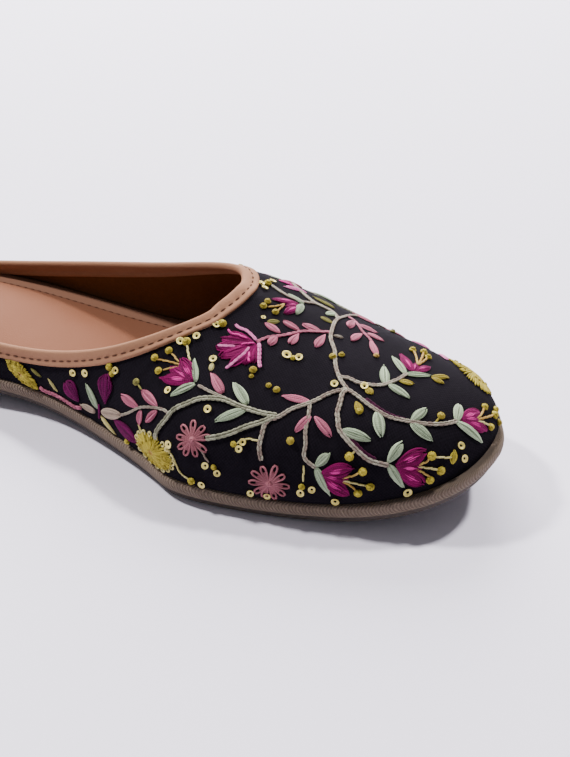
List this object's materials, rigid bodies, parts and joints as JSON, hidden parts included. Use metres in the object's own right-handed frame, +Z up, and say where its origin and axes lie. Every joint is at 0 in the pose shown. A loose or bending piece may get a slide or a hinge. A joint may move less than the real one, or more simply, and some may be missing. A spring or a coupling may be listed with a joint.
{
  "type": "embroidered mule",
  "caption": "Flat open-back slip-on shoe for the left foot: hollow cloth vamp with leather collar binding, padded insole, cloth-covered rand and thin outsole with a low heel.",
  "frame": {"origin": "on the floor, under the middle of the shoe's outline", "axes": "+X towards the toe, +Y towards the outer side of the foot, +Z up"},
  "size_m": [0.253, 0.0964, 0.0489],
  "materials": {
    "sole_rubber": "matte dark brown rubber",
    "rand_cloth": "taupe ribbed cloth",
    "sock_leather": "smooth tan leather",
    "upper_cloth": "black close-woven cotton with thread embroidery",
    "binding_leather": "soft nude-tan leather"
  },
  "bodies": {
    "root": {"outsole": "sole_rubber", "midsole_rand": "rand_cloth", "insole": "sock_leather", "upper": "upper_cloth", "collar_binding": "binding_leather"}
  },
  "joints": []
}
